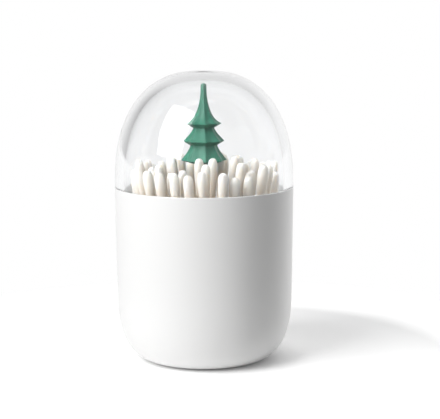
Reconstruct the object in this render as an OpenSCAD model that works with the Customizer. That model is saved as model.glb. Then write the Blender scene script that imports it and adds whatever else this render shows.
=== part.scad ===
// Cotton swab holder: a white cup full of cotton swabs, a green pine tree that
// stands in the middle of them, and a thick clear dome that lifts straight off.
// Millimetres, +Z up, origin in the middle of the flat that it stands on.

/* [Overall] */
// Outer diameter at the seam between the cup and the dome
holder_d = 70; // [69:1:84]
// Height from the table to the top of the dome
holder_h = 114; // [111:1:124]
// Height of the cup, up to its rim
cup_h = 68.8; // [65:0.1:70]

/* [Cup] */
// Wall thickness of the cup
cup_wall = 1.8; // [1.4:0.1:2.4]
// Thickness of the cup's floor
cup_floor = 2.4; // [1.8:0.1:3.4]
// Radius of the flat that the cup stands on
foot_r = 16.3; // [12:0.1:22]
// Height of the soft corner between the flat and the wall
corner_h = 28.7; // [20:0.1:40]
// Squareness of the soft corner, where 2 is a plain ellipse
corner_n = 2.72; // [2.2:0.02:3.4]
// How much smaller the wall's radius is at the table than at the rim
cup_draft = 0.9; // [0:0.1:2]
// Round on the outer edge of the rim, and on the dome's edge above it
rim_round = 0.4; // [0.2:0.1:0.7]
// Height of the raised pad that holds the tree's post, above the floor
pad_h = 6.1; // [3:0.1:8]
// Thickness left under the post's socket
socket_skin = 1.2; // [0.8:0.1:1.6]

/* [Dome] */
// Wall thickness of the dome at the seam
dome_wall = 3.8; // [3:0.1:4.4]
// Wall thickness at the crown
crown_wall = 3.7; // [2.6:0.1:4.5]
// Squareness of the dome's curve, where 2 is a plain ellipse
dome_n = 2.42; // [2.1:0.02:3]
// How far the skirt reaches down inside the cup
skirt_l = 5; // [3:0.1:8]
// Clearance round the skirt, inside the cup
skirt_fit = 0.15; // [0.1:0.01:0.3]

/* [Tree] */
// Number of ridges round the tree
tree_ridges = 8; // [5:1:10]
// Turn of the first ridge from the front, in degrees
tree_turn = 5; // [-20:1:20]
// Gap between the tree's tip and the inside of the crown
tip_gap = 0.8; // [0.5:0.1:3]
// Radius of the rounded tip
tip_r = 1.15; // [0.8:0.05:1.6]
// Depth of the flutes between the ridges, as a share of the radius
flute = 0.13; // [0.05:0.01:0.2]
// Height from the tip down to the lip of the top tier
top_tier_drop = 16.2; // [14:0.1:18]
// Radius of the top tier's lip
top_tier_r = 7; // [5.5:0.05:8]
// Height from the tip down to the lip of the middle tier
middle_tier_drop = 23; // [21:0.1:25]
// Radius of the middle tier's lip
middle_tier_r = 8.1; // [7:0.05:9]
// Height from the tip down to the lip of the bottom tier
bottom_tier_drop = 30.5; // [29:0.1:32]
// Radius of the bottom tier's lip
bottom_tier_r = 9; // [8:0.05:9.5]
// Radius of the neck under the top tier
upper_neck_r = 4.1; // [3.6:0.05:4.8]
// Radius of the neck under the middle tier
lower_neck_r = 5.3; // [4.6:0.05:6]
// Height of the slope under each lip
under_slope = 1.7; // [1.2:0.1:2.2]
// Radius of the trunk
trunk_r = 3.2; // [3:0.05:4]
// Length of the trunk below the bottom tier
trunk_l = 3.5; // [2:0.1:6]

/* [Post] */
// Diameter of the post that carries the tree
post_d = 4; // [3:0.1:4.6]
// How far the post reaches into the tree
post_grip = 12; // [8:0.1:14]
// Radial clearance round the post in its two sockets
post_fit = 0.05; // [0.02:0.01:0.1]
// Chamfer on the post's two ends
post_chamfer = 0.4; // [0.2:0.1:0.8]

/* [Swabs] */
// Length of a cotton swab, bud to bud
swab_l = 72.5; // [71:0.5:75]
// Diameter of the paper stick
stick_d = 2.1; // [1.8:0.1:2.5]
// Largest diameter of a cotton bud
bud_d = 3.7; // [3.4:0.1:4]
// Length of a cotton bud
bud_l = 14; // [10:0.5:18]
// Swabs in the innermost ring
inner_swabs = 9; // [6:1:9]
// Swabs that each ring further out holds more
ring_more = 9; // [7:1:9]
// Number of rings of swabs round the post
swab_rings = 3; // [2:1:3]
// Least gap between two neighbouring buds at the floor
ring_gap = 0.3; // [0.25:0.01:0.5]
// Least gap between the swabs' heads and the dome or the tree
head_gap = 0.7; // [0.5:0.05:1.2]
// Gap under the swabs, so that round ends clear the floor
rest_gap = 0.25; // [0.1:0.05:0.5]
// Most that a swab is pushed up between its neighbours
most_lift = 5; // [0:0.5:6]
// Most that a ring of swabs is wound round the post, in degrees
ring_twist = 9; // [0:1:12]
// Turn of all the swabs round the post, in degrees
swabs_turn = 103; // [0:1:180]
// Seed of the swabs' small differences
swab_seed = 56; // [1:1:60]

/* [Hidden] */
curve_steps = 26;
arc_steps = 4;
ridge_steps = 5;
skirt_chamfer = 0.4;
// The top tier swells slowly at first, and its last part flares out to the lip
slow_swell = 2.5;
late_flare = 12;
flare_share = 0.31;
// The lower tiers hollow in a little between neck and lip
tier_hollow = 1.35;
// Share of the flutes' depth on the tree's tip
tip_flutes = 0.3;
// Squareness of a bud's blunt end, how soon it thins, and its edge on the stick
bud_blunt = 3;
bud_thin = 1.4;
bud_edge = 0.15;
// Turn of each ring of swabs from the one inside it, in degrees
ring_turn = 13;

holder_r = holder_d / 2;
post_r = post_d / 2;
bud_r = bud_d / 2;
stick_r = stick_d / 2;

// Radius of the cup's outer wall at a height on its straight part
function cup_r(z) = holder_r - cup_draft * (cup_h - z) / cup_h;

// The soft corner is a quarter of a squared ellipse; t runs from 0 to 90 degrees
corner_w = cup_r(corner_h) - foot_r;
function squared(share, n) = pow(share, 2 / n);
function corner_point(t) = [
    foot_r + corner_w * squared(sin(t), corner_n),
    corner_h * (1 - squared(cos(t), corner_n))
];
function corner_slope(t) = [
    pow(squared(sin(t), corner_n), corner_n - 1) / corner_w,
    -pow(squared(cos(t), corner_n), corner_n - 1) / corner_h
];
function corner_thick(t) = cup_floor + (cup_wall - cup_floor) * sin(t);
function corner_inside(t) =
    corner_point(t) - corner_thick(t) * corner_slope(t) / norm(corner_slope(t));
corner_angles = [for (i = [0:curve_steps]) 90 * i / curve_steps];

// A quarter of a circle round a centre, from one angle to another
function arc(centre, r, from, to) =
    [for (i = [0:arc_steps]) let (a = from + (to - from) * i / arc_steps)
        centre + r * [cos(a), sin(a)]];

// The dome's inside, and its radius at a height
dome_h = holder_h - cup_h;
dome_in_r = holder_r - dome_wall;
dome_in_h = dome_h - crown_wall;
function dome_curve(r, h, t) = [r * squared(cos(t), dome_n), cup_h + h * squared(sin(t), dome_n)];
function dome_inside(z) = dome_in_r * pow(1 - pow((z - cup_h) / dome_in_h, dome_n), 1 / dome_n);
skirt_low = cup_h - skirt_l;
skirt_r = cup_r(skirt_low) - cup_wall - skirt_fit;

// Heights on the tree, from its tip down
tip_z = holder_h - crown_wall - tip_gap;
top_tier_z = tip_z - top_tier_drop;
middle_tier_z = tip_z - middle_tier_drop;
bottom_tier_z = tip_z - bottom_tier_drop;
trunk_low = bottom_tier_z - under_slope - trunk_l;

// The post stands in the cup's pad and reaches up into the trunk
socket_low = socket_skin;
post_top = trunk_low + post_grip;

// Rings of swabs: their number, the radius of their feet and of their heads
RINGS = [0:swab_rings - 1];
function ring_count(k) = inner_swabs + ring_more * k;
bud_room = bud_d + ring_gap;
function feet_r(k) = bud_room / 2 / sin(180 / ring_count(k));
pad_r = feet_r(0) + bud_r + ring_gap;
tips_z = cup_floor + rest_gap + swab_l;
least_heads_r = bottom_tier_r + bud_r + head_gap;
most_heads_r = dome_inside(tips_z + most_lift / 2) - bud_r - head_gap;
heads_span = most_heads_r - least_heads_r;
// A raised swab leans in over its neighbour, which leaves less play between the heads
lean_in = most_lift * (most_heads_r - feet_r(swab_rings - 1)) / swab_l;
heads_play =
    max(0, (heads_span - (swab_rings - 1) * (bud_room + lean_in / 2)) / 2 / swab_rings);
heads_pitch = (heads_span - 2 * heads_play) / (swab_rings - 1);
function heads_r(k) = least_heads_r + heads_play + k * heads_pitch;
function side_play(k) =
    max(0, (2 * heads_r(k) * sin(180 / ring_count(k)) - bud_room) / 2) / heads_r(k) * 180 / PI;

// One entry for each swab: its ring, and its place in that ring
SWABS = [for (k = RINGS) for (j = [0:ring_count(k) - 1]) [k, j]];
swab_count = len(SWABS);
head_turn = rands(-0.9, 0.9, swab_count, swab_seed);
head_shift = rands(-1, 1, swab_count, swab_seed + 1);
lift_share = rands(0, 1, swab_count, swab_seed + 2);
function swab_name(i) = str("swab_", i < 9 ? "0" : "", i + 1);
function round_xy(r, a) = [r * sin(a), -r * cos(a)];
function feet_angle(i) =
    swabs_turn + SWABS[i][1] * 360 / ring_count(SWABS[i][0]) + ring_turn * SWABS[i][0];
function twist(k) = ring_twist * (k % 2 == 0 ? -1 : 1) * k / max(1, swab_rings - 1);
function foot_of(i) = round_xy(feet_r(SWABS[i][0]), feet_angle(i));
function head_of(i) = let (k = SWABS[i][0])
    round_xy(
        heads_r(k) + heads_play * head_shift[i],
        feet_angle(i) + twist(k) + side_play(k) * head_turn[i]
    );
// The innermost swabs stand on the pad, and the others on the floor or a little above it
function foot_z(i) = cup_floor + rest_gap + (SWABS[i][0] == 0 ? pad_h : most_lift * lift_share[i]);

// The cup is one turned profile: outside, rim, inside, floor, pad and socket
module cup() {
    outside = [for (t = corner_angles) corner_point(t)];
    inside = [for (i = [curve_steps:-1:0]) corner_inside(corner_angles[i])];
    rim_in_r = holder_r - cup_wall;
    rim = arc([holder_r - rim_round, cup_h - rim_round], rim_round, 0, 90);
    pad = arc([pad_r - rim_round, cup_floor + pad_h - rim_round], rim_round, 0, 90);
    socket_r = post_r + post_fit;
    color([0.94, 0.94, 0.93])
    rotate_extrude($fn = 96)
    polygon(concat(
        [[0, 0]], outside, rim,
        [[rim_in_r + rim_round, cup_h], [rim_in_r, cup_h - rim_round]],
        inside, [[pad_r, cup_floor]], pad,
        [[socket_r, cup_floor + pad_h], [socket_r, socket_low], [0, socket_low]]
    ));
}

// The dome is one turned profile: skirt, shoulder on the rim, outside and inside
module dome() {
    outside = [for (i = [1:curve_steps - 1]) dome_curve(holder_r, dome_h, 90 * i / curve_steps)];
    inside = [for (i = [curve_steps - 1:-1:1])
        dome_curve(dome_in_r, dome_in_h, 90 * i / curve_steps)];
    edge = arc([holder_r - rim_round, cup_h + rim_round], rim_round, -90, 0);
    color([0.85, 0.9, 0.92, 0.35])
    rotate_extrude($fn = 96)
    polygon(concat(
        [[dome_in_r, skirt_low], [skirt_r - skirt_chamfer, skirt_low]],
        [[skirt_r, skirt_low + skirt_chamfer], [skirt_r, cup_h]],
        edge, outside, [[0, holder_h], [0, holder_h - crown_wall]], inside,
        [[dome_in_r, cup_h]]
    ));
}

// Levels of the tree from the tip down: radius of the ridges, height, share of the flutes
function swell(u) = (1 - flare_share) * pow(u, slow_swell) + flare_share * pow(u, late_flare);
tip_levels = [for (a = [20:23:89]) [tip_r * sin(a), tip_z - tip_r * (1 - cos(a)), tip_flutes]];
top_levels = [for (i = [0:11]) let (u = sin(90 * i / 11)) [
    tip_r + (top_tier_r - tip_r) * swell(u),
    tip_z - tip_r - (top_tier_drop - tip_r) * u,
    tip_flutes + (1 - tip_flutes) * u
]];
function tier_levels(neck_r, neck_z, lip_r, lip_z, steps) =
    [for (i = [0:steps]) let (u = i / steps)
        [neck_r + (lip_r - neck_r) * pow(u, tier_hollow), neck_z + (lip_z - neck_z) * u, 1]];
tree_levels = concat(
    tip_levels, top_levels,
    tier_levels(upper_neck_r, top_tier_z - under_slope, middle_tier_r, middle_tier_z, 6),
    tier_levels(lower_neck_r, middle_tier_z - under_slope, bottom_tier_r, bottom_tier_z, 7),
    [[trunk_r, bottom_tier_z - under_slope, 0], [trunk_r, trunk_low, 0]]
);

// Ridges are sharp and the flutes between them are round
function ridge(a) = abs(sin(tree_ridges * a / 2));
module tree() {
    around = tree_ridges * ridge_steps;
    levels = len(tree_levels);
    points = concat(
        [[0, 0, tip_z]],
        [for (level = tree_levels) for (j = [0:around - 1])
            let (a = 360 * j / around, r = level[0] * (1 - flute * level[2] * ridge(a)))
            concat(round_xy(r, a + tree_turn), [level[1]])]
    );
    function at(k, j) = 1 + k * around + j % around;
    faces = concat(
        [for (j = [0:around - 1]) [0, at(0, j + 1), at(0, j)]],
        [for (k = [0:levels - 2]) for (j = [0:around - 1]) [at(k, j), at(k, j + 1), at(k + 1, j + 1)]],
        [for (k = [0:levels - 2]) for (j = [0:around - 1]) [at(k, j), at(k + 1, j + 1), at(k + 1, j)]],
        [[for (j = [0:around - 1]) at(levels - 1, j)]]
    );
    color([0.2, 0.55, 0.43])
    difference() {
        polyhedron(points = points, faces = faces, convexity = 4);
        translate([0, 0, trunk_low - 1])
        cylinder(r = post_r + post_fit, h = post_grip + 1, $fn = 48);
    }
}

// The post is pressed into the cup's pad and into the tree
module tree_post() {
    color([0.94, 0.94, 0.93])
    rotate_extrude($fn = 48)
    polygon([
        [0, socket_low], [post_r - post_chamfer, socket_low], [post_r, socket_low + post_chamfer],
        [post_r, post_top - post_chamfer], [post_r - post_chamfer, post_top], [0, post_top]
    ]);
}

// A bud is blunt at its end, widest a third of the way in, and thins down to the stick
function bud_profile(x) = let (wide = bud_l / 3, edge = stick_r + bud_edge) x < wide
    ? bud_r * pow(1 - pow(1 - x / wide, bud_blunt), 1 / bud_blunt)
    : edge + (bud_r - edge) * pow(cos(90 * (x - wide) / (bud_l - wide)), bud_thin);
bud_places = [0.012, 0.06, 0.17, 0.33, 0.5, 0.64, 0.77, 0.89, 1];
module swab(i) {
    run = head_of(i) - foot_of(i);
    rise = sqrt(swab_l * swab_l - run * run);
    lower = [for (u = bud_places) [bud_profile(u * bud_l), u * bud_l]];
    upper = [for (u = bud_places) [bud_profile(u * bud_l), swab_l - u * bud_l]];
    flipped = [for (n = [len(upper) - 1:-1:0]) upper[n]];
    color([0.97, 0.96, 0.93])
    translate(concat(foot_of(i), [foot_z(i)]))
    rotate([0, acos(rise / swab_l), atan2(run[1], run[0])])
    rotate_extrude($fn = 32)
    polygon(concat(
        [[0, 0]], lower, [[stick_r, bud_l], [stick_r, swab_l - bud_l]], flipped, [[0, swab_l]]
    ));
}

cup();
dome();
tree();
tree_post();
for (i = [0:swab_count - 1])
    swab(i);
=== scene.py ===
import math

import bpy
import numpy as np
from bpy.props import (
    FloatProperty,
    FloatVectorProperty,
    IntProperty,
    PointerProperty,
)
from mathutils import Matrix, Vector


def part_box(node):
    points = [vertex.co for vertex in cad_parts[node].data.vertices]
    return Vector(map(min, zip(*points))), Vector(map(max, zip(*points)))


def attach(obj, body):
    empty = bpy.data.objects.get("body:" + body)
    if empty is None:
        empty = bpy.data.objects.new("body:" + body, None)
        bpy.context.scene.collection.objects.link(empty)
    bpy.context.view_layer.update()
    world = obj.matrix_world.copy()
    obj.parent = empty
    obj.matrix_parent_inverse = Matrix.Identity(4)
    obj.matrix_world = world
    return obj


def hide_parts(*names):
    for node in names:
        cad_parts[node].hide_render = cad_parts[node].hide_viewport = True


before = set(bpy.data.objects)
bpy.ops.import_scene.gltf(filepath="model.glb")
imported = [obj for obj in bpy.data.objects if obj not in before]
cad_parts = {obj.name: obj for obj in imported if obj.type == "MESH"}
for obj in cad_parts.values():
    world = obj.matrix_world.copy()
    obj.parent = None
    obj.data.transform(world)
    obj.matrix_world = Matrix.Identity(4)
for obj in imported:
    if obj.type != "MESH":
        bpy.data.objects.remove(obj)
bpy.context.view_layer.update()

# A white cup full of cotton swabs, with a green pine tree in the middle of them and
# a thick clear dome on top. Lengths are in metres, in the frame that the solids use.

bl_info = {
    "name": "Cotton swab holder",
    "version": (1, 0, 0),
    "blender": (4, 5, 0),
    "location": "View3D > Sidebar > Swab holder",
    "description": "A white cup of cotton swabs round a pine tree, under a clear dome",
    "category": "Add Mesh",
}

MM = 0.001
CUP_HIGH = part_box("cup")[1]
DOME_LOW, DOME_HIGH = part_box("dome")
TREE_LOW, TREE_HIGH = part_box("tree")
POST_LOW, POST_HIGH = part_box("tree_post")
SWAB_NODES = sorted(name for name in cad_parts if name.startswith("swab_"))

# Faces round each turned piece, and points along a quarter of the cup's or dome's curve.
SHELL_STEPS = 160
TREE_STEPS = 240
POST_STEPS = 48
SWAB_STEPS = 24
CURVE_STEPS = 72
WELD = 0.001 * MM

# The top tier widens as a sum of shares of powers, the lower two with one power.
TOP_SWELL = ((0.69, 2.5), (0.31, 12))
TIER_BEND = 1.35
POST_PLAY = 0.05 * MM
POST_EDGE = 0.4 * MM

# Where a bud ends on its stick, and how soon its cotton turns darker and warmer on the way there:
# painted shade for the deep gaps between the buds.
BUD_STEP = 0.12 * MM
BUD_LIP = 0.05 * MM
BUD_EDGE = 0.15 * MM
STICK_END = 0.13 * MM
STICK_EDGE = 0.125 * MM
GAP_SHADE_FROM = 0.12
GAP_SHADE_GROWTH = 1.1
SWAB_SPIN = 2.4

# Distances from the middle of the holder between which the table changes.
TABLE_SIZE = 12
BOUNCE_FADE = (0.03, 0.11)
CONTACT_FADE = (0.0175, 0.045)
SHADOW_FADE = (0.07, 0.16)
FAR_BOUNCE = 0.45

# Heights that the lamps and the camera aim at, and the camera's own frame.
LAMP_AIM = 0.05
CAMERA_AIM = 0.057
SENSOR_WIDTH = 36
CAMERA_SHIFT = (0.0357, 0.0134)
CAMERA_CLIP = (0.02, 30)


def length(name, description, default_mm):
    """A length that the panel shows in the scene's own unit."""
    return FloatProperty(
        name=name, description=description, default=default_mm * MM,
        min=0.0, unit="LENGTH", subtype="DISTANCE", precision=4,
    )


def amount(name, description, default, low=0.0, high=1.0):
    """A plain number without a unit."""
    return FloatProperty(name=name, description=description, default=default, min=low, max=high)


def colour(name, description, default):
    """A surface colour, as linear red, green and blue."""
    return FloatVectorProperty(
        name=name, description=description, default=default,
        subtype="COLOR", size=3, min=0.0, max=1.0,
    )


class CupSizes(bpy.types.PropertyGroup):
    """Sizes of the white cup."""

    foot: length("Foot radius", "Radius of the flat that the cup stands on", 16.3)
    corner: length("Corner height", "Height of the soft corner above the table", 28.7)
    squareness: amount(
        "Squareness", "Squareness of the soft corner, 2 is an ellipse", 2.72, 2.0, 4.0,
    )
    draft: length("Draft", "How much the wall narrows from the rim to the table", 0.9)
    wall: length("Wall", "Thickness of the wall", 1.8)
    floor: length("Floor", "Thickness of the floor", 2.4)
    rim_round: length("Rim round", "Round on the edges of the rim", 0.25)
    pad_height: length("Pad height", "Height of the pad that holds the post", 6.1)
    pad_radius: length("Pad radius", "Radius of the pad that holds the post", 8.0)
    socket_radius: length("Socket radius", "Radius of the post's socket", 2.05)
    socket_floor: length("Socket floor", "Thickness left under the socket", 1.2)


class DomeSizes(bpy.types.PropertyGroup):
    """Sizes of the clear dome."""

    wall: length("Wall", "Thickness of the dome at the seam", 3.8)
    crown: length("Crown", "Thickness of the dome at the top", 3.7)
    squareness: amount(
        "Squareness", "Squareness of the dome's curve, 2 is an ellipse", 2.42, 2.0, 4.0,
    )
    skirt_gap: length("Skirt gap", "Gap between the skirt and the cup", 0.15)
    edge_round: length("Edge round", "Round on the dome's outer edge at the seam", 0.12)


class TreeSizes(bpy.types.PropertyGroup):
    """Sizes of the pine tree."""

    tip: length("Tip radius", "Radius of the rounded tip", 1.15)
    ridges: IntProperty(
        name="Ridges", description="Number of ridges round the tree", default=8, min=3, max=12,
    )
    turn: FloatProperty(
        name="Turn", description="Turn of the first ridge from the front",
        default=math.radians(5), unit="ROTATION", subtype="ANGLE",
    )
    flute: amount("Flute depth", "Depth of the flutes as a share of the radius", 0.13, 0.0, 0.3)
    ridge_round: amount("Ridge round", "How soft the ridges are", 0.07, 0.0, 0.5)
    lip_round: length("Lip round", "Round on the lip of each tier", 0.35)
    under: length("Under slope", "Height of the slope under each lip", 1.7)
    drops: FloatVectorProperty(
        name="Lip drops", description="Heights from the tip down to the three lips",
        default=(16.2 * MM, 23.0 * MM, 30.5 * MM), size=3, unit="LENGTH", subtype="NONE",
    )
    lips: FloatVectorProperty(
        name="Lip radii", description="Radii of the three lips",
        default=(7.0 * MM, 8.1 * MM, 9.0 * MM), size=3, unit="LENGTH", subtype="NONE",
    )
    necks: FloatVectorProperty(
        name="Neck radii", description="Radii of the necks under the top and middle tiers",
        default=(4.1 * MM, 5.3 * MM), size=2, unit="LENGTH", subtype="NONE",
    )
    trunk: length("Trunk radius", "Radius of the trunk", 3.2)
    grip: length("Post grip", "How far the post reaches into the tree", 12.0)


class SwabSizes(bpy.types.PropertyGroup):
    """Sizes of the cotton swabs."""

    bud: length("Bud diameter", "Largest diameter of a cotton bud", 3.7)
    bud_length: length("Bud length", "Length of a cotton bud", 14.0)
    blunt: amount("Bluntness", "Squareness of a bud's end, 2 is an ellipse", 3.0, 2.0, 4.0)
    stick: length("Stick diameter", "Diameter of the paper stick", 2.1)
    lumps: length("Lumps", "Depth of the lumps in the cotton", 0.12)


class HolderColours(bpy.types.PropertyGroup):
    """Colours of the finishes."""

    cup: colour("Cup", "White plastic of the cup", (0.86, 0.86, 0.855))
    tree: colour("Tree", "Green plastic of the tree", (0.03, 0.165, 0.107))
    cotton: colour("Cotton", "Cotton at the head of a bud", (0.73, 0.715, 0.68))
    # Darker, warmer cotton by the stick is painted shade for the deep gaps between the buds.
    cotton_gap_shade: colour(
        "Cotton by the stick", "Cotton where it meets the stick", (0.66, 0.565, 0.46),
    )
    stick: colour("Stick", "Paper stick", (0.76, 0.66, 0.54))
    table: colour("Table", "Pale table as it is seen", (0.97, 0.97, 0.97))
    table_glow: colour("Table glow", "Pale table as it lights the holder", (1.0, 1.0, 1.0))


class StudioSettings(bpy.types.PropertyGroup):
    """Light and camera."""

    key: amount("Key", "Power of the soft box at the front left, in watts", 14.6, 0.0, 200.0)
    rim: amount("Rim", "Power of the soft box at the back right, in watts", 8.0, 0.0, 200.0)
    room: amount("Room", "Strength of the room's light on the surfaces", 0.14, 0.0, 5.0)
    distance: length("Distance", "Distance from the camera to the middle of the holder", 600.0)
    height: FloatProperty(
        name="Elevation", description="Angle of the camera above the table",
        default=math.radians(8.64), unit="ROTATION", subtype="ANGLE",
    )
    roll: FloatProperty(
        name="Roll", description="Turn of the camera about its own axis",
        default=math.radians(-0.35), unit="ROTATION", subtype="ANGLE",
    )
    lens: FloatProperty(
        name="Lens", description="Focal length in millimetres", default=124.7, min=20, max=300,
    )


def settle():
    """Leave edit mode and select nothing."""
    if bpy.context.object and bpy.context.object.mode != "OBJECT":
        bpy.ops.object.mode_set(mode="OBJECT")
    bpy.ops.object.select_all(action="DESELECT")


def pick(piece):
    """Select one piece alone and make it the active one."""
    settle()
    piece.select_set(True)
    bpy.context.view_layer.objects.active = piece


def arc(centre, radius, start, end, steps=5):
    """Points of a circle's arc in the outline's plane, angles in degrees."""
    angles = [math.radians(start + (end - start) * i / steps) for i in range(steps + 1)]
    return [(centre[0] + radius * math.cos(a), centre[1] + radius * math.sin(a)) for a in angles]


def squared(share, squareness):
    """A sine or cosine raised so that an ellipse grows squarer."""
    return max(share, 0.0) ** (2 / squareness)


def soften(points, at, reach, steps=4):
    """Replace one corner of an outline with a small curve that starts a reach away from it."""
    before, corner, after = (Vector(points[at + i]) for i in (-1, 0, 1))
    start = corner + (before - corner).normalized() * min(reach, (before - corner).length * 0.9)
    end = corner + (after - corner).normalized() * min(reach, (after - corner).length * 0.9)
    curve = []
    for i in range(steps + 1):
        t = i / steps
        curve.append(tuple(start * (1 - t) ** 2 + corner * 2 * t * (1 - t) + end * t ** 2))
    return points[:at] + curve + points[at + 1:]


def draw_outline(name, points):
    """Draw an outline of (radius, height) points, vertex by vertex from a melted plane."""
    settle()
    bpy.ops.mesh.primitive_plane_add(size=MM, location=(0, 0, 0))
    piece = bpy.context.object
    piece.name = name
    piece.data.name = name
    bpy.ops.object.mode_set(mode="EDIT")
    bpy.ops.mesh.select_mode(type="VERT")
    bpy.ops.mesh.select_all(action="SELECT")
    bpy.ops.mesh.merge(type="CENTER")
    bpy.ops.transform.translate(value=(points[0][0], 0, points[0][1]))
    for here, there in zip(points, points[1:]):
        step = (there[0] - here[0], 0, there[1] - here[1])
        bpy.ops.mesh.extrude_region_move(TRANSFORM_OT_translate={"value": step})
    return piece


def turn_outline(piece, steps):
    """Turn the drawn outline once round the upright axis and close its poles."""
    bpy.ops.mesh.select_all(action="SELECT")
    bpy.ops.mesh.spin(steps=steps, angle=math.tau, center=(0, 0, 0), axis=(0, 0, 1))
    bpy.ops.mesh.select_all(action="SELECT")
    bpy.ops.mesh.remove_doubles(threshold=WELD)
    bpy.ops.mesh.normals_make_consistent(inside=False)
    bpy.ops.object.mode_set(mode="OBJECT")
    return piece


def smooth(piece, angle):
    """Shade the piece smooth, apart from edges sharper than the angle in degrees."""
    pick(piece)
    bpy.ops.object.shade_smooth_by_angle(angle=math.radians(angle))


def stand_for(piece, body, nodes):
    """Let the piece ride on a body in place of solid nodes."""
    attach(piece, body)
    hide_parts(*nodes)


def finish_nodes(name):
    """A new material's nodes, links and main shader."""
    material = bpy.data.materials.new(name)
    material.use_nodes = True
    nodes = material.node_tree.nodes
    return material, nodes, material.node_tree.links, nodes["Principled BSDF"]


def grain(nodes, links, scale, detail=3.0, stretch=(1, 1, 1)):
    """Noise over the piece's own coordinates, with scale in features per metre."""
    place = nodes.new("ShaderNodeTexCoord")
    mapping = nodes.new("ShaderNodeMapping")
    noise = nodes.new("ShaderNodeTexNoise")
    mapping.inputs["Scale"].default_value = stretch
    noise.inputs["Scale"].default_value = scale
    noise.inputs["Detail"].default_value = detail
    links.new(place.outputs["Object"], mapping.inputs["Vector"])
    links.new(mapping.outputs["Vector"], noise.inputs["Vector"])
    return noise.outputs["Fac"]


def remap(nodes, links, value, from_low, from_high, to_low, to_high):
    """A value carried smoothly from one range to another."""
    node = nodes.new("ShaderNodeMapRange")
    node.interpolation_type = "SMOOTHSTEP"
    for socket, number in zip(("From Min", "From Max", "To Min", "To Max"),
                              (from_low, from_high, to_low, to_high)):
        node.inputs[socket].default_value = number
    links.new(value, node.inputs["Value"])
    return node.outputs["Result"]


def maths(nodes, links, operation, first, second):
    """One step of arithmetic on two values, either of them a socket or a number."""
    node = nodes.new("ShaderNodeMath")
    node.operation = operation
    for socket, value in zip(node.inputs, (first, second)):
        if isinstance(value, (int, float)):
            socket.default_value = value
        else:
            links.new(value, socket)
    return node.outputs["Value"]


def blend_colours(nodes, links, share, first, second):
    """A colour that runs from the first to the second as the share grows."""
    mix = nodes.new("ShaderNodeMix")
    mix.data_type = "RGBA"
    colours = [socket for socket in mix.inputs if socket.type == "RGBA"]
    for socket, value in zip(colours, (first, second)):
        if isinstance(value, bpy.types.NodeSocket):
            links.new(value, socket)
        else:
            socket.default_value = (*value, 1.0)
    links.new(share, mix.inputs["Factor"])
    return next(socket for socket in mix.outputs if socket.type == "RGBA")


def bump(nodes, links, shader, height, strength, depth):
    """Raise the surface by a height pattern, with its depth in metres."""
    node = nodes.new("ShaderNodeBump")
    node.inputs["Strength"].default_value = strength
    node.inputs["Distance"].default_value = depth
    links.new(height, node.inputs["Height"])
    links.new(node.outputs["Normal"], shader.inputs["Normal"])


def shade(base, factor):
    """A colour scaled by a factor."""
    return tuple(min(1.0, channel * factor) for channel in base)


def white_plastic(name, base):
    """Satin white moulded plastic with a fine spark-eroded grain and faint flow marks."""
    material, nodes, links, shader = finish_nodes(name)
    flow = grain(nodes, links, scale=22, detail=2.0, stretch=(1, 1, 0.3))
    fine = grain(nodes, links, scale=3200, detail=2.0)
    tone = blend_colours(nodes, links, flow, shade(base, 0.985), shade(base, 1.01))
    links.new(tone, shader.inputs["Base Color"])
    links.new(remap(nodes, links, flow, 0.3, 0.7, 0.42, 0.5), shader.inputs["Roughness"])
    bump(nodes, links, shader, fine, strength=0.12, depth=0.02 * MM)
    shader.inputs["IOR"].default_value = 1.47
    return material


def clear_plastic(name):
    """Clear cast plastic that lets the lamps through to what stands inside."""
    material, nodes, links, shader = finish_nodes(name)
    shader.inputs["Base Color"].default_value = (0.985, 0.99, 0.995, 1.0)
    shader.inputs["Transmission Weight"].default_value = 1.0
    shader.inputs["IOR"].default_value = 1.49
    ripple = grain(nodes, links, scale=34, detail=1.0)
    links.new(remap(nodes, links, ripple, 0.3, 0.7, 0.0, 0.015), shader.inputs["Roughness"])
    bump(nodes, links, shader, ripple, strength=0.06, depth=0.25 * MM)
    path = nodes.new("ShaderNodeLightPath")
    through = nodes.new("ShaderNodeBsdfTransparent")
    through.inputs["Color"].default_value = (0.94, 0.945, 0.95, 1.0)
    mix = nodes.new("ShaderNodeMixShader")
    links.new(path.outputs["Is Shadow Ray"], mix.inputs[0])
    links.new(shader.outputs["BSDF"], mix.inputs[1])
    links.new(through.outputs["BSDF"], mix.inputs[2])
    links.new(mix.outputs["Shader"], nodes["Material Output"].inputs["Surface"])
    return material


def green_plastic(name, base):
    """Satin green moulded plastic, with a painted highlight that makes it a little paler along the
    ridges.
    """
    material, nodes, links, shader = finish_nodes(name)
    flow = grain(nodes, links, scale=120, stretch=(1, 1, 0.35))
    fine = grain(nodes, links, scale=2600, detail=2.0)
    tone = blend_colours(nodes, links, flow, shade(base, 0.9), shade(base, 1.12))
    # Painted highlight: the green is mixed towards a paler tone along the ridges.
    ridge = nodes.new("ShaderNodeAttribute")
    ridge.attribute_name = "ridge"
    pale = tuple(channel * 0.9 + 0.03 for channel in base)
    tone = blend_colours(nodes, links, ridge.outputs["Fac"], tone, pale)
    links.new(tone, shader.inputs["Base Color"])
    links.new(remap(nodes, links, flow, 0.3, 0.7, 0.38, 0.5), shader.inputs["Roughness"])
    shader.inputs["Specular IOR Level"].default_value = 0.3
    bump(nodes, links, shader, fine, strength=0.15, depth=0.03 * MM)
    return material


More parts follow.
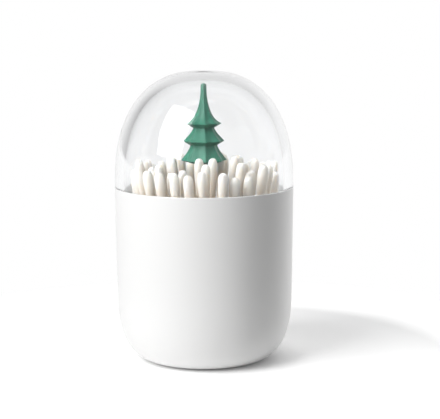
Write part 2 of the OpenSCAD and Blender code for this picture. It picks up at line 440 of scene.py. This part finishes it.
def cotton_wool(name, head, low):
    """Matt wound cotton, whitest at the head of a bud and darker and warmer by the stick, where
    the warmer tone is painted shade for the gaps between the buds.
    """
    material, nodes, links, shader = finish_nodes(name)
    painted_gap_shade = nodes.new("ShaderNodeAttribute")
    painted_gap_shade.attribute_name = "painted_gap_shade"
    tufts = grain(nodes, links, scale=420)
    fibres = grain(nodes, links, scale=1500, detail=6.0, stretch=(1, 1, 0.35))
    wool = blend_colours(nodes, links, tufts, shade(head, 0.96), shade(head, 1.03))
    # Painted shade: the cotton turns darker and warmer towards the stick, where the buds crowd in
    # the cup.
    tone = blend_colours(nodes, links, painted_gap_shade.outputs["Fac"], wool, low)
    links.new(tone, shader.inputs["Base Color"])
    shader.inputs["Roughness"].default_value = 0.95
    shader.inputs["Specular IOR Level"].default_value = 0.15
    shader.inputs["Sheen Weight"].default_value = 0.15
    shader.inputs["Sheen Roughness"].default_value = 0.6
    shader.inputs["Subsurface Weight"].default_value = 1.0
    shader.inputs["Subsurface Radius"].default_value = (1.0, 0.9, 0.75)
    shader.inputs["Subsurface Scale"].default_value = 3.0 * MM
    bump(nodes, links, shader, fibres, strength=0.55, depth=0.12 * MM)
    return material


def rolled_paper(name, base):
    """Tightly rolled paper with faint long fibres."""
    material, nodes, links, shader = finish_nodes(name)
    fibres = grain(nodes, links, scale=1600, stretch=(1, 1, 0.08))
    tone = blend_colours(nodes, links, fibres, shade(base, 0.92), shade(base, 1.06))
    links.new(tone, shader.inputs["Base Color"])
    shader.inputs["Roughness"].default_value = 0.8
    bump(nodes, links, shader, fibres, strength=0.3, depth=0.05 * MM)
    return material


def cup_outline(cup, steps=CURVE_STEPS):
    """The cup's outline: under the foot, up the outside, over the rim and down the inside."""
    rim_r, rim_z = CUP_HIGH.x, CUP_HIGH.z
    corner_w = rim_r - cup.draft * (rim_z - cup.corner) / rim_z - cup.foot
    outside, inside = [], []
    for i in range(steps + 1):
        t = math.pi / 2 * i / steps
        across, up = squared(math.sin(t), cup.squareness), squared(math.cos(t), cup.squareness)
        point = Vector((cup.foot + corner_w * across, cup.corner * (1 - up)))
        out = Vector((
            across ** (cup.squareness - 1) / corner_w,
            -(up ** (cup.squareness - 1)) / cup.corner,
        )).normalized()
        outside.append(tuple(point))
        inside.append(tuple(point - out * (cup.floor + (cup.wall - cup.floor) * math.sin(t))))
    r = cup.rim_round
    pad_z = cup.floor + cup.pad_height
    return (
        [(0, 0)] + outside
        + arc((rim_r - r, rim_z - r), r, 0, 90)
        + arc((rim_r - cup.wall + r, rim_z - r), r, 90, 180)
        + inside[::-1]
        + [(cup.pad_radius, cup.floor)]
        + arc((cup.pad_radius - r, pad_z - r), r, 0, 90)
        + [(cup.socket_radius + r / 2, pad_z), (cup.socket_radius, pad_z - r / 2),
           (cup.socket_radius, cup.socket_floor), (0, cup.socket_floor)]
    )


def dome_outline(dome, cup, steps=CURVE_STEPS):
    """The dome's outline: down the inside, round the skirt, the shoulder and up the outside."""
    top_z, seam_z = DOME_HIGH.z, CUP_HIGH.z
    out_r, in_r = DOME_HIGH.x, DOME_HIGH.x - dome.wall
    low_z = DOME_LOW.z
    r = dome.edge_round
    skirt_r = out_r - cup.draft * (seam_z - low_z) / seam_z - cup.wall - dome.skirt_gap

    def curve(radius, height, t):
        return (radius * squared(math.cos(t), dome.squareness),
                seam_z + height * squared(math.sin(t), dome.squareness))

    angles = [math.pi / 2 * i / steps for i in range(steps + 1)]
    inside = [curve(in_r, top_z - dome.crown - seam_z, t) for t in reversed(angles)]
    outside = [curve(out_r, top_z - seam_z, t) for t in angles if t > 0.05]
    return (
        inside
        + arc((in_r + r / 2, low_z + r / 2), r / 2, 180, 270)
        + arc((skirt_r - r, low_z + r), r, -90, 0)
        + [(skirt_r, seam_z)]
        + arc((out_r - r, seam_z + r), r, -90, 0)
        + outside
    )


def tree_outline(tree):
    """The tree's outline from its tip down over three tiers to the trunk and the socket."""
    tip_z = TREE_HIGH.z
    lips_z = [tip_z - drop for drop in tree.drops]
    points = arc((0, tip_z - tree.tip), tree.tip, 90, 5, 9)
    for i in range(1, 41):
        u = math.sin(math.pi / 2 * i / 40)
        swell = sum(share * u ** power for share, power in TOP_SWELL)
        points.append((tree.tip + (tree.lips[0] - tree.tip) * swell,
                       tip_z - tree.tip - (tree.drops[0] - tree.tip) * u))
    corners = [len(points) - 1]
    for tier in (1, 2):
        neck_r, neck_z = tree.necks[tier - 1], lips_z[tier - 1] - tree.under
        for i in range(0, 21):
            u = i / 20
            points.append((neck_r + (tree.lips[tier] - neck_r) * u ** TIER_BEND,
                           neck_z + (lips_z[tier] - neck_z) * u))
        corners.append(len(points) - 1)
    trunk_z = lips_z[2] - tree.under
    points += [(tree.trunk, trunk_z), (tree.trunk, TREE_LOW.z)]
    corners.append(len(points) - 1)
    post_r = POST_HIGH.x + POST_PLAY
    points += [(post_r, TREE_LOW.z), (post_r, TREE_LOW.z + tree.grip), (0, TREE_LOW.z + tree.grip)]
    for corner in reversed(corners):
        points = soften(points, corner, tree.lip_round)
    return points


def carve_flutes(piece, tree):
    """Hollow the tree between its ridges, and note for each vertex how much painted highlight it
    gets on the crests of the ridges.
    """
    tip_z = TREE_HIGH.z
    lip_z, low_lip_z = tip_z - tree.drops[0], tip_z - tree.drops[2]
    soft = tree.ridge_round
    near = piece.data.attributes.new("ridge", "FLOAT", "POINT")
    for vertex in piece.data.vertices:
        x, y, z = vertex.co
        radius = math.hypot(x, y)
        if radius < POST_HIGH.x + 2 * POST_PLAY and z < low_lip_z:
            continue
        wave = math.sin(tree.ridges * (math.atan2(x, -y) - tree.turn) / 2)
        hollow = (math.hypot(wave, soft) - soft) / (math.hypot(1, soft) - soft)
        depth = min(1.0, 0.3 + 0.7 * (tip_z - z) / (tip_z - lip_z))
        depth *= min(1.0, max(0.0, (z - low_lip_z + tree.under) / tree.under))
        vertex.co.xy *= 1 - tree.flute * depth * hollow
        # Share of the painted highlight, strongest on the crests of the ridges.
        near.data[vertex.index].value = max(0.0, 1 - abs(wave) * 5) * depth * 0.4
    piece.data.update()


def swab_outline(swab, whole):
    """A swab's outline from end to end: bud, stick and bud."""
    bud_r, stick_r = swab.bud / 2, swab.stick / 2
    wide, edge = swab.bud_length / 3, stick_r + BUD_EDGE

    def profile(x):
        if x < wide:
            return bud_r * (1 - (1 - x / wide) ** swab.blunt) ** (1 / swab.blunt)
        bend = math.cos(math.pi / 2 * (x - wide) / (swab.bud_length - wide))
        return edge + (bud_r - edge) * max(bend, 0.0) ** 1.4

    places = [wide * (1 - math.cos(math.pi / 2 * i / 9)) for i in range(1, 10)]
    places += [wide + (swab.bud_length - wide) * i / 12 for i in range(1, 13)]
    bud = [(0, 0)] + [(profile(x), x) for x in places]
    bud += [(stick_r + BUD_LIP, swab.bud_length + BUD_STEP),
            (stick_r, swab.bud_length + STICK_END)]
    return bud + [(r, whole - z) for r, z in reversed(bud)]


def make_swab(swab, whole, cotton, paper):
    """One swab, standing on the origin: two lumpy cotton buds on a paper stick."""
    piece = turn_outline(draw_outline("first_swab", swab_outline(swab, whole)), SWAB_STEPS)
    piece.data.materials.append(cotton)
    piece.data.materials.append(paper)
    low, high = swab.bud_length + STICK_EDGE, whole - swab.bud_length - STICK_EDGE
    for face in piece.data.polygons:
        face.material_index = 1 if low < face.center.z < high else 0
    in_bud = [min(v.co.z, whole - v.co.z) / swab.bud_length for v in piece.data.vertices]
    buds = piece.vertex_groups.new(name="cotton")
    buds.add([i for i, share in enumerate(in_bud) if 0.02 < share < 0.98], 1.0, "REPLACE")
    # Painted shade for the gaps between the buds: none at the bud's end, growing towards the
    # stick.
    painted_gap_shade = piece.data.attributes.new("painted_gap_shade", "FLOAT", "POINT")
    warm = [min(1.0, max(0.0, share - GAP_SHADE_FROM) * GAP_SHADE_GROWTH) for share in in_bud]
    painted_gap_shade.data.foreach_set("value", warm)
    smooth(piece, 60)
    return piece


def swab_place(name):
    """The foot, the direction and the length of a swab, read from its solid."""
    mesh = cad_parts[name].data
    points = np.empty(len(mesh.vertices) * 3)
    mesh.vertices.foreach_get("co", points)
    points = np.unique(points.reshape(-1, 3).round(7), axis=0)
    centre = points.mean(axis=0)
    along = np.linalg.svd(points - centre)[2][0]
    along = along * (1 if along[2] > 0 else -1)
    reach = (points - centre) @ along
    return Vector(centre + along * reach.min()), Vector(along), reach.max() - reach.min()


class SWABS_OT_cup(bpy.types.Operator):
    """Turn the white cup with its soft corner, rim, floor and post socket"""

    bl_idname = "swabs.cup"
    bl_label = "White cup"

    def execute(self, context):
        scene = context.scene
        piece = turn_outline(draw_outline("white_cup", cup_outline(scene.cup_sizes)), SHELL_STEPS)
        smooth(piece, 32)
        piece.data.materials.append(white_plastic("cup_plastic", scene.holder_colours.cup))
        stand_for(piece, "holder", ["cup"])
        return {"FINISHED"}


class SWABS_OT_dome(bpy.types.Operator):
    """Turn the thick clear dome with the skirt that sits inside the cup"""

    bl_idname = "swabs.dome"
    bl_label = "Clear dome"

    def execute(self, context):
        scene = context.scene
        outline = dome_outline(scene.dome_sizes, scene.cup_sizes)
        piece = turn_outline(draw_outline("clear_dome", outline), SHELL_STEPS)
        smooth(piece, 32)
        piece.data.materials.append(clear_plastic("dome_plastic"))
        stand_for(piece, "lid", ["dome"])
        return {"FINISHED"}


class SWABS_OT_tree(bpy.types.Operator):
    """Turn the pine tree and carve the flutes between its ridges"""

    bl_idname = "swabs.tree"
    bl_label = "Pine tree"

    def execute(self, context):
        scene = context.scene
        outline = tree_outline(scene.tree_sizes)
        piece = turn_outline(draw_outline("pine_tree", outline), TREE_STEPS)
        carve_flutes(piece, scene.tree_sizes)
        smooth(piece, 50)
        piece.data.materials.append(green_plastic("tree_plastic", scene.holder_colours.tree))
        stand_for(piece, "holder", ["tree"])
        return {"FINISHED"}


class SWABS_OT_post(bpy.types.Operator):
    """Turn the post that carries the tree"""

    bl_idname = "swabs.post"
    bl_label = "Tree post"

    def execute(self, context):
        scene = context.scene
        r, low, high, edge = POST_HIGH.x, POST_LOW.z, POST_HIGH.z, POST_EDGE
        outline = ([(0, low)] + arc((r - edge, low + edge), edge, -90, 0)
                   + arc((r - edge, high - edge), edge, 0, 90) + [(0, high)])
        piece = turn_outline(draw_outline("tree_pin", outline), POST_STEPS)
        smooth(piece, 40)
        piece.data.materials.append(white_plastic("pin_plastic", scene.holder_colours.cup))
        stand_for(piece, "holder", ["tree_post"])
        return {"FINISHED"}


class SWABS_OT_swabs(bpy.types.Operator):
    """Make one cotton swab and put a lumpy copy of it where each solid swab stands"""

    bl_idname = "swabs.swabs"
    bl_label = "Cotton swabs"

    def execute(self, context):
        scene = context.scene
        colours = scene.holder_colours
        cotton = cotton_wool("cotton", colours.cotton, colours.cotton_gap_shade)
        paper = rolled_paper("stick_paper", colours.stick)
        places = [swab_place(name) for name in SWAB_NODES]
        first = make_swab(scene.swab_sizes, places[0][2], cotton, paper)
        clouds = bpy.data.textures.new("cotton_lumps", "CLOUDS")
        clouds.noise_scale = 1.6 * MM
        clouds.noise_depth = 2
        for index, (name, (foot, along, whole)) in enumerate(zip(SWAB_NODES, places)):
            pick(first)
            bpy.ops.object.duplicate()
            piece = context.object
            piece.name = "cotton_" + name
            piece.data.name = piece.name
            turned = along.to_track_quat("Z", "Y").to_matrix().to_4x4()
            spun = Matrix.Rotation(index * SWAB_SPIN, 4, "Z")
            piece.matrix_world = Matrix.Translation(foot) @ turned @ spun
            bpy.ops.object.transform_apply(location=True, rotation=True, scale=True)
            lumps = piece.modifiers.new("lumps", "DISPLACE")
            lumps.texture = clouds
            lumps.texture_coords = "LOCAL"
            lumps.vertex_group = "cotton"
            lumps.mid_level = 0.6
            lumps.strength = scene.swab_sizes.lumps
            bpy.ops.object.modifier_apply(modifier="lumps")
            stand_for(piece, "holder", [name])
        bpy.data.objects.remove(first)
        return {"FINISHED"}


def seen_directly(nodes, links):
    """One for rays that show the studio itself, straight on, in gloss or through the dome.

    The light path node that says so is given as well.
    """
    path = nodes.new("ShaderNodeLightPath")
    straight, gloss = path.outputs["Is Camera Ray"], path.outputs["Is Glossy Ray"]
    shown = maths(nodes, links, "ADD", straight, gloss)
    shown = maths(nodes, links, "ADD", shown, path.outputs["Is Transmission Ray"])
    shown = maths(nodes, links, "MINIMUM", shown, 1.0)
    early = maths(nodes, links, "LESS_THAN", path.outputs["Diffuse Depth"], 0.5)
    return maths(nodes, links, "MULTIPLY", shown, early), path


def table_finish(name, base, glow):
    """A pale table that fades to white away from the holder and keeps its shadow near it."""
    material, nodes, links, shader = finish_nodes(name)
    shown, _ = seen_directly(nodes, links)
    shader.inputs["Roughness"].default_value = 0.9
    shader.inputs["Specular IOR Level"].default_value = 0.0
    place = nodes.new("ShaderNodeTexCoord")
    reach = nodes.new("ShaderNodeVectorMath")
    reach.operation = "LENGTH"
    links.new(place.outputs["Object"], reach.inputs[0])
    distance = reach.outputs["Value"]
    away = remap(nodes, links, distance, *BOUNCE_FADE, 0.0, 1.0)
    bounce = blend_colours(nodes, links, away, glow, shade(glow, FAR_BOUNCE))
    links.new(blend_colours(nodes, links, shown, bounce, base), shader.inputs["Base Color"])
    close = remap(nodes, links, distance, *CONTACT_FADE, 0.02, 0.22)
    far = remap(nodes, links, distance, *SHADOW_FADE, 0.0, 1.0)
    share = maths(nodes, links, "MAXIMUM", close, far)
    share = maths(nodes, links, "MULTIPLY", share, shown)
    white = nodes.new("ShaderNodeEmission")
    links.new(remap(nodes, links, distance, *SHADOW_FADE, 2.5, 1.0), white.inputs["Strength"])
    mix = nodes.new("ShaderNodeMixShader")
    links.new(share, mix.inputs[0])
    links.new(shader.outputs["BSDF"], mix.inputs[1])
    links.new(white.outputs["Emission"], mix.inputs[2])
    links.new(mix.outputs["Shader"], nodes["Material Output"].inputs["Surface"])
    return material


def room_light(scene, strength):
    """A white room for the camera, darker above and at the sides in gloss and thick glass.

    Gloss alone also has it darker towards the front and overhead.
    """
    world = bpy.data.worlds.new("studio_room")
    scene.world = world
    world.use_nodes = True
    nodes, links = world.node_tree.nodes, world.node_tree.links
    direction = nodes.new("ShaderNodeTexCoord")
    parts = nodes.new("ShaderNodeSeparateXYZ")
    links.new(direction.outputs["Generated"], parts.inputs["Vector"])
    ceiling = remap(nodes, links, parts.outputs["Z"], 0.05, 0.6, 1.0, 0.76)
    front = remap(nodes, links, parts.outputs["Y"], -0.7, 0.1, 0.72, 0.0)
    for end, depth in ((-0.7, 0.42), (0.7, 0.12)):
        side = remap(nodes, links, parts.outputs["X"], end * 0.3, end, 0.0, depth)
        ceiling = maths(nodes, links, "SUBTRACT", ceiling, side)
    overhead = remap(nodes, links, parts.outputs["Z"], 0.1, 0.8, 0.0, 0.3)
    front = maths(nodes, links, "ADD", front, overhead)
    shown, path = seen_directly(nodes, links)
    straight, glass = path.outputs["Is Camera Ray"], path.outputs["Is Transmission Ray"]
    through = maths(nodes, links, "ADD", glass, straight)
    mirrored = maths(nodes, links, "SUBTRACT", 1.0, maths(nodes, links, "MINIMUM", through, 1.0))
    dimmed = maths(nodes, links, "MULTIPLY", front, mirrored)
    studio = maths(nodes, links, "SUBTRACT", ceiling, dimmed)
    studio = maths(nodes, links, "MAXIMUM", studio, straight)
    extra = maths(nodes, links, "SUBTRACT", studio, strength)
    level = maths(nodes, links, "ADD", maths(nodes, links, "MULTIPLY", extra, shown), strength)
    links.new(level, nodes["Background"].inputs["Strength"])
    nodes["Background"].inputs["Color"].default_value = (1.0, 1.0, 1.0, 1.0)


def soft_box(name, side, height, distance, width, tall, power):
    """A rectangular soft lamp aimed at the holder, at angles to the side and up in degrees."""
    aim = Vector((0, 0, LAMP_AIM))
    side, height = math.radians(side), math.radians(height)
    back = Vector((math.sin(side) * math.cos(height), -math.cos(side) * math.cos(height),
                   math.sin(height)))
    settle()
    bpy.ops.object.light_add(type="AREA", location=aim + back * distance)
    lamp = bpy.context.object
    lamp.name = name
    lamp.rotation_euler = (-back).to_track_quat("-Z", "Y").to_euler()
    lamp.data.shape = "RECTANGLE"
    lamp.data.size = width
    lamp.data.size_y = tall
    lamp.data.energy = power
    lamp.visible_camera = False
    return lamp


class SWABS_OT_studio(bpy.types.Operator):
    """Set the pale table, the soft boxes, the room and the camera"""

    bl_idname = "swabs.studio"
    bl_label = "Studio"

    def execute(self, context):
        scene = context.scene
        studio = scene.studio_settings
        settle()
        bpy.ops.mesh.primitive_plane_add(size=TABLE_SIZE, location=(0, 0, 0))
        table = context.object
        table.name = "pale_table"
        table.data.materials.append(table_finish(
            "table_finish", scene.holder_colours.table, scene.holder_colours.table_glow))
        soft_box("key_box", side=-48, height=37, distance=1.1,
                 width=0.65, tall=1.0, power=studio.key)
        rim = soft_box("rim_box", side=130, height=16, distance=1.0,
                       width=0.5, tall=0.4, power=studio.rim)
        rim.visible_transmission = False
        rim.visible_glossy = False
        spared = bpy.data.collections.new("not_lit_by_rim_box")
        spared.objects.link(table)
        spared.collection_objects[0].light_linking.link_state = "EXCLUDE"
        rim.light_linking.receiver_collection = spared
        room_light(scene, studio.room)
        aim = Vector((0, 0, CAMERA_AIM))
        height = studio.height
        back = Vector((0, -math.cos(height), math.sin(height)))
        settle()
        bpy.ops.object.camera_add(location=aim + back * studio.distance)
        camera = context.object
        camera.name = "photo_camera"
        tilt = Matrix.Rotation(math.pi / 2 - height, 3, "X")
        camera.rotation_euler = (tilt @ Matrix.Rotation(studio.roll, 3, "Z")).to_euler()
        camera.data.lens = studio.lens
        camera.data.sensor_width = SENSOR_WIDTH
        camera.data.shift_x, camera.data.shift_y = CAMERA_SHIFT
        camera.data.clip_start, camera.data.clip_end = CAMERA_CLIP
        scene.camera = camera
        scene.view_settings.view_transform = "Standard"
        return {"FINISHED"}


class SWABS_PT_panel(bpy.types.Panel):
    """Pieces of the swab holder and their sizes"""

    bl_idname = "SWABS_PT_panel"
    bl_label = "Cotton swab holder"
    bl_space_type = "VIEW_3D"
    bl_region_type = "UI"
    bl_category = "Swab holder"

    def draw(self, context):
        scene = context.scene
        for operator in PIECES:
            self.layout.operator(operator.bl_idname)
        for title, group in SETTINGS.items():
            box = self.layout.box()
            box.label(text=title.replace("_", " ").capitalize())
            for key in group.__annotations__:
                box.prop(getattr(scene, title), key)


PIECES = (
    SWABS_OT_cup, SWABS_OT_post, SWABS_OT_tree, SWABS_OT_swabs, SWABS_OT_dome, SWABS_OT_studio,
)
SETTINGS = {
    "cup_sizes": CupSizes,
    "dome_sizes": DomeSizes,
    "tree_sizes": TreeSizes,
    "swab_sizes": SwabSizes,
    "holder_colours": HolderColours,
    "studio_settings": StudioSettings,
}


def register():
    for group in SETTINGS.values():
        bpy.utils.register_class(group)
    for title, group in SETTINGS.items():
        setattr(bpy.types.Scene, title, PointerProperty(type=group))
    for operator in PIECES:
        bpy.utils.register_class(operator)
    bpy.utils.register_class(SWABS_PT_panel)


def unregister():
    bpy.utils.unregister_class(SWABS_PT_panel)
    for operator in reversed(PIECES):
        bpy.utils.unregister_class(operator)
    for title in SETTINGS:
        delattr(bpy.types.Scene, title)
    for group in reversed(list(SETTINGS.values())):
        bpy.utils.unregister_class(group)


def main():
    register()
    bpy.ops.swabs.cup()
    bpy.ops.swabs.post()
    bpy.ops.swabs.tree()
    bpy.ops.swabs.swabs()
    bpy.ops.swabs.dome()
    bpy.ops.swabs.studio()
    settle()


if __name__ == "__main__":
    main()
